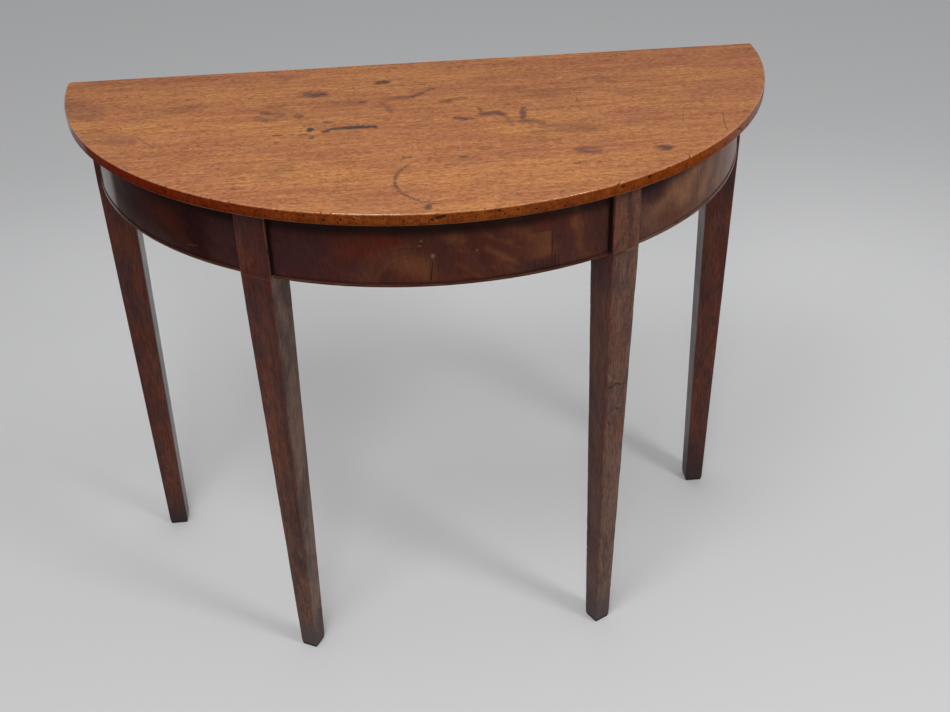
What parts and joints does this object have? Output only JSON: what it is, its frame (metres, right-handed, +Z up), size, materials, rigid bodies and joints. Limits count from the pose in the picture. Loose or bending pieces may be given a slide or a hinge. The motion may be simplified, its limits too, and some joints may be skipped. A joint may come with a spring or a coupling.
{
  "type": "demilune table",
  "caption": "Half-round demilune side table: a flat semicircular top on a bowed veneered frieze, with square tapered legs and a straight back that stands against a wall.",
  "frame": {"origin": "on the floor, under the middle of the table's bounding box", "axes": "+X to the right along the straight back edge, front towards -Y, +Z up"},
  "size_m": [0.96, 0.4799, 0.72],
  "materials": {
    "top_mahogany": "worn wax polish",
    "leg_mahogany": "dark worn polish",
    "frieze_veneer": "glossy polish",
    "bead_mahogany": "polish",
    "core_pine": "bare, aged",
    "rail_pine": "bare, aged",
    "screw_steel": "dull"
  },
  "bodies": {
    "root": {"back_rail": "rail_pine", "bead_centre": "bead_mahogany", "bead_left": "bead_mahogany", "bead_right": "bead_mahogany", "cross_rail": "rail_pine", "frieze_brick_1_1": "core_pine", "frieze_brick_1_2": "core_pine", "frieze_brick_1_3": "core_pine", "frieze_brick_1_4": "core_pine", "frieze_brick_1_5": "core_pine", "frieze_brick_2_1": "core_pine", "frieze_brick_2_2": "core_pine", "frieze_brick_2_3": "core_pine", "frieze_brick_2_4": "core_pine", "frieze_brick_3_1": "core_pine", "frieze_brick_3_2": "core_pine", "frieze_brick_3_3": "core_pine", "frieze_brick_3_4": "core_pine", "frieze_brick_3_5": "core_pine", "glue_block_left_1": "rail_pine", "glue_block_left_2": "rail_pine", "glue_block_rail_left": "rail_pine", "glue_block_rail_right": "rail_pine", "glue_block_right_1": "rail_pine", "glue_block_right_2": "rail_pine", "leg_back_left": "leg_mahogany", "leg_back_right": "leg_mahogany", "leg_front_left": "leg_mahogany", "leg_front_right": "leg_mahogany", "stile_line_left": "bead_mahogany", "stile_line_right": "bead_mahogany", "top": "top_mahogany", "top_screws": "screw_steel", "veneer_centre": "frieze_veneer", "veneer_left": "frieze_veneer", "veneer_right": "frieze_veneer"}
  },
  "joints": []
}
